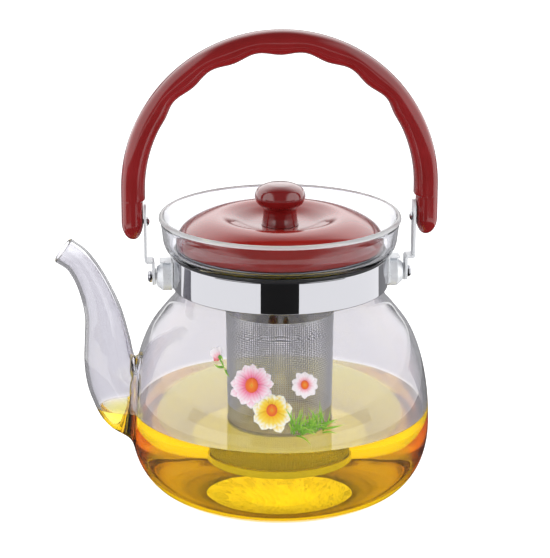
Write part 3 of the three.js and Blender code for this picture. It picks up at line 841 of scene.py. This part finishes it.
def pivots():
    """Smooth bosses, and rounded edges on the small steel pieces that the frame already shapes well."""
    for where, side in (("left", -1), ("right", 1)):
        low, high = box_mm(f"pivot_boss_{where}")
        axis_z = (low[2] + high[2]) / 2
        radius = (high[2] - low[2]) / 2
        near, far = sorted((abs(low[0]), abs(high[0])))
        near -= 0.6
        hole = 2.2
        profile = rounded([(hole, near), (radius, near), (radius, far - 2.9), (radius - 0.5, far - 2.4),
                           (5, far - 0.2), (4.2, far), (hole, far), (hole, near)], 0.5)
        points, faces = lathe(profile, 96)
        points = np.stack([points[:, 2] * side, points[:, 0], points[:, 1] + axis_z], 1)
        boss = f"pivot_boss_{where}"
        make(f"{boss}_smooth", points, faces, SATIN, "root", (boss,))
        for name in ("pivot_plate", "pivot_washer", "pivot_screw", "bail_bracket", "bail_rivet"):
            repaint(f"{name}_{where}", polished=name in ("pivot_screw", "bail_rivet"))
    repaint("knob_washer")
    repaint("knob_screw")


def repaint(name, polished=False):
    """Gives a steel CAD node its Blender material and rounded edges."""
    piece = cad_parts[name]
    piece.data.materials.clear()
    piece.data.materials.append(POLISHED if polished else SATIN)
    edge = piece.modifiers.new("rounded edges", "BEVEL")
    edge.width = 0.15 * MM
    edge.segments = 2
    edge.limit_method = "ANGLE"
    edge.angle_limit = math.radians(40)
    edge.harden_normals = True


def neck_band():
    """The polished band, whose face is held straight near its rounded edges so that it mirrors evenly."""
    inner = BAND_R - 0.8
    corners = [(inner, BAND_LOW), (BAND_R, BAND_LOW), (BAND_R, BAND_HIGH), (inner, BAND_HIGH)]
    profile = rounded([(inner, BAND_LOW + 3), *corners, (inner, BAND_LOW + 3)], 0.3)
    widest = np.flatnonzero(profile[:, 0] > BAND_R - 1e-6)
    flat = [(BAND_R, BAND_LOW + 0.8), (BAND_R, BAND_HIGH - 0.8)]
    profile = np.vstack([profile[:widest[0] + 1], flat, profile[widest[-1]:]])
    turned("neck_band_smooth", profile, POLISHED, "root", "neck_band")
    band_liner()


def band_liner():
    """A seal between the glass and the band, with a lip over the band's upper edge; it is painted black so
    that its lip shows as the band's dark reflection along its top, a painted dark reflection.
    """
    lip, low, top = round_mm("band_liner")
    outer, lip_low = BAND_R - 1.1, BAND_HIGH + 0.3
    inner = outer - 1.2
    profile = rounded([
        (inner, low + 3), (inner, low), (outer, low), (outer, lip_low), (lip - 0.2, lip_low),
        (lip, top - 0.5), (lip - 0.3, top), (lip - 1, top - 0.1), (inner + 1, top - 0.6),
        (inner + 0.5, top - 1.3), (inner, top - 2.4), (inner, low + 3),
    ], 0.15)
    # the liner's black is a painted dark reflection along the band's top edge
    turned("band_liner_painted_dark_smooth", profile, PAINTED_DARK_RUBBER, "root", "band_liner")


# ---- lid ----

def lid():
    """The dished shell, the inner half with its plug, and the seal around the plug."""
    edge, low, high = round_mm("lid_shell")
    crown = catmull([(9, high - 4.9), (17, high - 4.1), (24.5, high - 1.4), (30.5, high), (37, high - 0.8),
                     (44, high - 3.7), (49.2, high - 7.3), (edge, high - 11.2)], 10)
    under = offset(crown, -2.2)[::-1]
    shell = np.vstack([
        [(KNOB_SCREW_R, high - 4.9)], crown, rounded([crown[-1], (edge, low), (edge - 2, low)], 0.9)[1:],
        [(edge - 2.2, low + 0.4)], under, [(KNOB_SCREW_R, high - 7.1), (KNOB_SCREW_R, high - 4.9)],
    ])
    turned("lid_shell_smooth", shell, RED_LID, "lid", "lid_shell")
    edge, low, high = round_mm("lid_base")
    plate, sheet, plug, stem = low + 6.8, 1.8, 24.4, 6
    base = rounded([
        (12, plate), (plug - sheet, plate), (plug - sheet, low), (plug, low), (plug, plate),
        (edge, plate), (edge, plate + sheet), (stem, plate + sheet), (stem, high),
        (KNOB_SCREW_R, high), (KNOB_SCREW_R, plate), (12, plate),
    ], 0.3)
    turned("lid_base_smooth", base, RED, "lid", "lid_base", sharp=30)
    seal = ring_profile(plug + 0.3, *round_mm("lid_seal"), 0.8)
    turned("lid_seal_smooth", seal, CREAM, "lid", "lid_seal")
    knob()


def knob():
    """The knob, turned from a waisted side and a blind hole for its screw."""
    _, low, high = round_mm("lid_knob")
    side = catmull([(9.3, low), (8.4, low + 5.1), (8.6, low + 8.5), (11.4, low + 11.1), (12.6, low + 14.4),
                    (11.2, low + 18.2), (7, high - 0.7), (3, high - 0.1), (0, high)], 10)
    hole_end = low + 13.7
    profile = np.vstack([[(0, hole_end), (KNOB_SCREW_R, hole_end), (KNOB_SCREW_R, low)], side])
    turned("lid_knob_smooth", profile, RED_KNOB, "lid", "lid_knob", 96)


# ---- bail ----

GRIP_LOW, GRIP_HIGH = box_mm("bail_grip")
ARCH_Z = 158.6  # the middle of the grip's round arch
GRIP_OUT_R = GRIP_HIGH[0]
GRIP_IN_R = GRIP_OUT_R - 12
GRIP_CAP = 9  # the height of the round end of a leg
STEP_Z = 153.6  # below this, a leg's inner side is cut back for its bracket
STEP_HALF = 0.7
RECESS_X = box_mm("bail_bracket_right")[1][0] + 0.3
GRIP_SIDES = 48
SQUARE = 0.82
WAVE_DEGREES = 20  # one finger groove, along the arch
WAVE_ENDS = (50, 66)  # degrees from the top, where the grooves fade out


def smoothstep(value, low, high):
    """A smooth step from 0 at low to 1 at high."""
    w = min(max((value - low) / (high - low), 0), 1)
    return w * w * (3 - 2 * w)


def squared(value):
    """A sine or cosine that makes an oval squarer."""
    return math.copysign(abs(value) ** SQUARE, value)


def grip_section(base, outwards, inner, outer, half_width):
    """One oval section of the grip in a plane through the arch."""
    points = []
    for i in range(GRIP_SIDES):
        a = 2 * math.pi * i / GRIP_SIDES
        reach = (inner + outer) / 2 + (outer - inner) / 2 * squared(math.cos(a))
        x, z = base[0] + outwards[0] * reach, base[1] + outwards[1] * reach
        points.append((x, squared(math.sin(a)) * half_width, z))
    return points


def grip_leg(side):
    """The sections of a straight leg, from its round end up to the arch. side is -1 or 1."""
    low = GRIP_LOW[2]
    turns = np.radians(np.linspace(3, 90, 16))
    rows = [(low + GRIP_CAP * (1 - math.cos(a)), math.sin(a)) for a in turns]
    rows += [(z, 1) for z in np.linspace(low + GRIP_CAP + 1, STEP_Z - STEP_HALF - 0.5, 7)]
    rows += [(z, 1) for z in np.linspace(STEP_Z - STEP_HALF - 0.1, STEP_Z + STEP_HALF + 0.1, 7)]
    sections = []
    for z, fill in rows:
        inner = RECESS_X + (GRIP_IN_R - RECESS_X) * smoothstep(z, STEP_Z - STEP_HALF, STEP_Z + STEP_HALF)
        middle = (inner + GRIP_OUT_R) / 2 - (1 - fill) * 0.4
        half = (GRIP_OUT_R - inner) / 2 * fill
        sections.append(grip_section((0, z), (side, 0), middle - half, middle + half, GRIP_HIGH[1] * fill))
    return sections


def grip_arch():
    """The sections of the arch, with finger grooves along the middle of its inner side."""
    sections = []
    for degrees in np.linspace(-90, 90, 181):
        a = math.radians(degrees)
        wave = 0.6 - 0.9 * math.cos(degrees / WAVE_DEGREES * 2 * math.pi)
        wave *= 1 - smoothstep(abs(degrees), *WAVE_ENDS)
        outwards = (math.sin(a), math.cos(a))
        sections.append(grip_section((0, ARCH_Z), outwards, GRIP_IN_R + wave, GRIP_OUT_R, GRIP_HIGH[1]))
    return sections


def bail_grip():
    """The grip as one skin over all its sections."""
    points, faces, before = [], [], None
    for section in grip_leg(-1) + grip_arch() + grip_leg(1)[::-1]:
        before = add_row(points, faces, before, section)
    faces.append(tuple(range(GRIP_SIDES)))
    faces.append(tuple(before[::-1]))
    make("bail_grip_smooth", points, faces, RED, "bail", ("bail_grip",), 50)


# ---- infuser ----

def infuser():
    """The polished flange, sleeve and foot ring, and the woven gauze between them."""
    edge, bottom, top = round_mm("infuser_flange")
    hole, skirt, sheet = 27.9, 48.4, 0.8
    low = top - sheet
    flange = rounded([
        (hole + 5, low), (skirt - sheet, low), (skirt - sheet, bottom), (skirt, bottom), (skirt, low),
        (edge, low), (edge, top), (hole, top), (hole, low), (hole + 5, low),
    ], 0.25)
    outer, *levels = round_mm("infuser_sleeve")
    sleeve = ring_profile(outer - sheet, outer, *levels)
    outer, *levels = round_mm("infuser_ring")
    foot_ring = ring_profile(outer - 1.8, outer, *levels, 0.4)
    for part, profile in (("flange", flange), ("sleeve", sleeve), ("ring", foot_ring)):
        turned(f"infuser_{part}_smooth", profile, POLISHED, "infuser", f"infuser_{part}")
    gauze_wall()
    gauze_floor()


def gauze_wall():
    """A slightly tapered basket of upright wires woven through hoops."""
    outer, low, high = round_mm("infuser_mesh")
    top_r, foot_r = outer - 0.4, outer - 1.4
    uprights = int(2 * math.pi * top_r / WIRE_PITCH / 2) * 2
    hoops = int((high - low) / WIRE_PITCH)
    z = np.linspace(low + WIRE_R, high - WIRE_R, hoops * 2 + 1)
    radius = foot_r + (top_r - foot_r) * (z - low) / (high - low)
    hoop_place = (z - z[1]) / (z[2] - z[0])
    paths = []
    for i in range(uprights):
        a = 2 * math.pi * i / uprights
        r = radius + WIRE_R * np.cos(np.pi * (hoop_place + i))
        paths.append(np.stack([r * math.cos(a), r * math.sin(a), z], 1))
    points, faces = tubes(paths, closed=False)
    hoop_paths = []
    around = np.arange(uprights * 2)
    for j in range(hoops):
        at = 1 + 2 * j
        r = radius[at] - WIRE_R * np.cos(np.pi * (around / 2 + j))
        a = 2 * np.pi * around / len(around)
        hoop_paths.append(np.stack([r * np.cos(a), r * np.sin(a), np.full(len(a), z[at])], 1))
    more, more_faces = tubes(hoop_paths, closed=True)
    faces = np.vstack([faces, more_faces + len(points)]).tolist()
    points = np.vstack([points, more])
    make("infuser_gauze", points, faces, WIRE, "infuser", ("infuser_mesh",), 0)


def gauze_floor():
    """A round of plain weave."""
    outer, low, high = round_mm("infuser_base")
    radius = outer - WIRE_R
    z = (low + high) / 2
    paths = []
    count = int(radius / WIRE_PITCH)
    for turn in (0, 1):
        for i in range(-count, count + 1):
            across = i * WIRE_PITCH
            half = math.sqrt(max(radius ** 2 - across ** 2, 1))
            along = np.arange(-half, half, WIRE_PITCH / 2)
            weave = WIRE_R * np.cos(np.pi * (along / WIRE_PITCH + i + turn))
            line = np.stack([np.full(len(along), across), along, z + weave], 1)
            paths.append(line[:, [1, 0, 2]] if turn else line)
    paths = [p for p in paths if len(p) > 2]
    points, faces = tubes(paths, closed=False)
    faces = faces.tolist()
    make("infuser_gauze_floor", points, faces, WIRE, "infuser", ("infuser_base",), 0)


# ---- stage, light and camera ----

def stage():
    """The floor, the room, and black and grey surfaces that shape the reflections in glass and steel."""
    bpy.ops.mesh.primitive_plane_add(size=12)
    floor = bpy.context.object
    floor.name = "floor"
    made, tree, shader = material(
        "floor", Base_Color=(0.42, 0.42, 0.42, 1), Roughness=0.9, Emission_Color=(1, 1, 1, 1))
    tree.links.new(spread(tree, veil(tree), *FLOOR_GLOW), shader.inputs["Emission Strength"])
    floor.data.materials.append(made)
    studio()
    black = material("black_card", Base_Color=(0.002, 0.002, 0.002, 1), Roughness=0.9)[0]
    grey = material("grey_mat", Base_Color=(0.3, 0.3, 0.31, 1), Roughness=0.9)[0]
    towards = CAMERA_AT - CAMERA_TO
    azimuth = math.atan2(towards.x, -towards.y)
    card("card_front", azimuth, black)
    points, faces = lathe([(radius, MAT_Z) for radius in MAT_NEAR], 96)
    reflected_mesh("floor_mat", points, faces, black)
    mat("floor_mat_back", azimuth + math.pi, 1.0, MAT_BACK, grey)
    mat("floor_mat_front", azimuth, 1.2, MAT_FRONT, black)


def mat(name, azimuth, half_angle, radii, paint):
    """Part of a ring on the floor. Angles are in radians and azimuth 0 is in front, at -Y."""
    steps = 30
    turns = np.linspace(azimuth - half_angle, azimuth + half_angle, steps + 1)
    points = [(math.sin(a) * r, -math.cos(a) * r, MAT_Z) for r in radii for a in turns]
    faces = [(i, i + 1, i + steps + 2, i + steps + 1) for i in range(steps)]
    reflected_mesh(name, points, faces, paint)


def veil(tree):
    """1 for what the inner side of a near glass wall mirrors, which is kept dark so that the tea shows."""
    path = node(tree, "ShaderNodeLightPath").outputs
    reflected = math_node(tree, "MINIMUM", path["Glossy Depth"], 1.0)
    through = math_node(tree, "MINIMUM", path["Transmission Depth"], 1.0)
    near = math_node(tree, "LESS_THAN", path["Transmission Depth"], VEIL_DEPTH)
    return math_node(tree, "MULTIPLY", math_node(tree, "MULTIPLY", reflected, through), near)


def studio():
    """A pale room, which reflections see as dark walls, two side windows and a pale sweep at the back."""
    world = bpy.data.worlds.new("studio")
    bpy.context.scene.world = world
    world.use_nodes = True
    tree = world.node_tree
    place = node(tree, "ShaderNodeTexCoord").outputs["Generated"]
    front = ((CAMERA_AT - CAMERA_TO) * Vector((1, 1, 0))).normalized()
    right = Vector((-front.y, front.x, 0))
    sideways = along_axis(tree, place, right)
    windows = step_between(tree, math_node(tree, "ABSOLUTE", sideways, 0), *WINDOWS)
    up = along_axis(tree, place, Vector((0, 0, 1)))
    below_top = step_between(tree, up, *SWEEP_TOP)
    above_floor = step_between(tree, up, *SWEEP_LOW)
    behind = step_between(tree, along_axis(tree, place, -front), *SWEEP_SIDE)
    sweep = math_node(tree, "MULTIPLY", below_top, behind)
    sweep = math_node(tree, "MULTIPLY", sweep, above_floor)
    windows = spread(tree, windows, DARK_WALL, WINDOW_LIGHT)
    sweep = spread(tree, sweep, DARK_WALL, SWEEP_LIGHT)
    mirrored = math_node(tree, "MAXIMUM", windows, sweep)
    path = node(tree, "ShaderNodeLightPath").outputs
    plain = math_node(tree, "MAXIMUM", path["Is Camera Ray"], path["Is Transmission Ray"])
    plain = math_node(tree, "SUBTRACT", plain, veil(tree))
    pick = node(tree, "ShaderNodeMix", data_type="FLOAT")
    pick.inputs["B"].default_value = WORLD_LIGHT
    tree.links.new(plain, pick.inputs["Factor"])
    tree.links.new(mirrored, pick.inputs["A"])
    tree.links.new(pick.outputs["Result"], tree.nodes["Background"].inputs["Strength"])
    tree.nodes["Background"].inputs["Color"].default_value = (1, 1, 1, 1)


def along_axis(tree, direction, axis):
    """How far a direction points along an axis."""
    dot = node(tree, "ShaderNodeVectorMath", operation="DOT_PRODUCT")
    dot.inputs[1].default_value = axis
    tree.links.new(direction, dot.inputs[0])
    return dot.outputs["Value"]


def card(name, azimuth, paint):
    """An upright card facing the pot. Azimuth 0 is in front, at -Y."""
    out = np.array([math.sin(azimuth), -math.cos(azimuth), 0]) * CARD_DISTANCE
    across = np.array([math.cos(azimuth), math.sin(azimuth), 0]) * CARD_HALF_WIDTH
    low, high = CARD_Z
    corners = [out + across * side + (0, 0, z) for side, z in ((-1, low), (1, low), (1, high), (-1, high))]
    reflected_mesh(name, corners, [(0, 1, 2, 3)], paint)


def reflected_mesh(name, points, faces, paint):
    """A mesh of the stage that only glossy rays see."""
    piece = mesh_object(name, points, faces, paint)
    for kind in ("camera", "diffuse", "transmission", "volume_scatter", "shadow"):
        setattr(piece, f"visible_{kind}", False)


def camera():
    """The camera, seen through a long lens from a little above, and plain colours without a film look."""
    data = bpy.data.cameras.new("camera")
    data.lens = CAMERA_LENS
    data.sensor_width = 36
    piece = bpy.data.objects.new("camera", data)
    bpy.context.scene.collection.objects.link(piece)
    piece.location = CAMERA_AT
    look = (CAMERA_TO - CAMERA_AT).to_track_quat("-Z", "Y").to_matrix()
    piece.rotation_euler = (look @ Matrix.Rotation(CAMERA_ROLL, 3, "Z")).to_euler()
    data.clip_start, data.clip_end = 0.05, 50
    bpy.context.scene.camera = piece
    bpy.context.scene.view_settings.view_transform = "Standard"


def light_paths():
    """Enough bounces for light to pass through every wall of glass and the tea."""
    cycles = bpy.context.scene.cycles
    cycles.max_bounces = 40
    cycles.transmission_bounces = 32
    cycles.glossy_bounces = 16


light_paths()
camera()
stage()
glass_pot()
tea()
tea_painted_gleam_sheet()
flowers()
neck_band()
pivots()
lid()
bail_grip()
infuser()
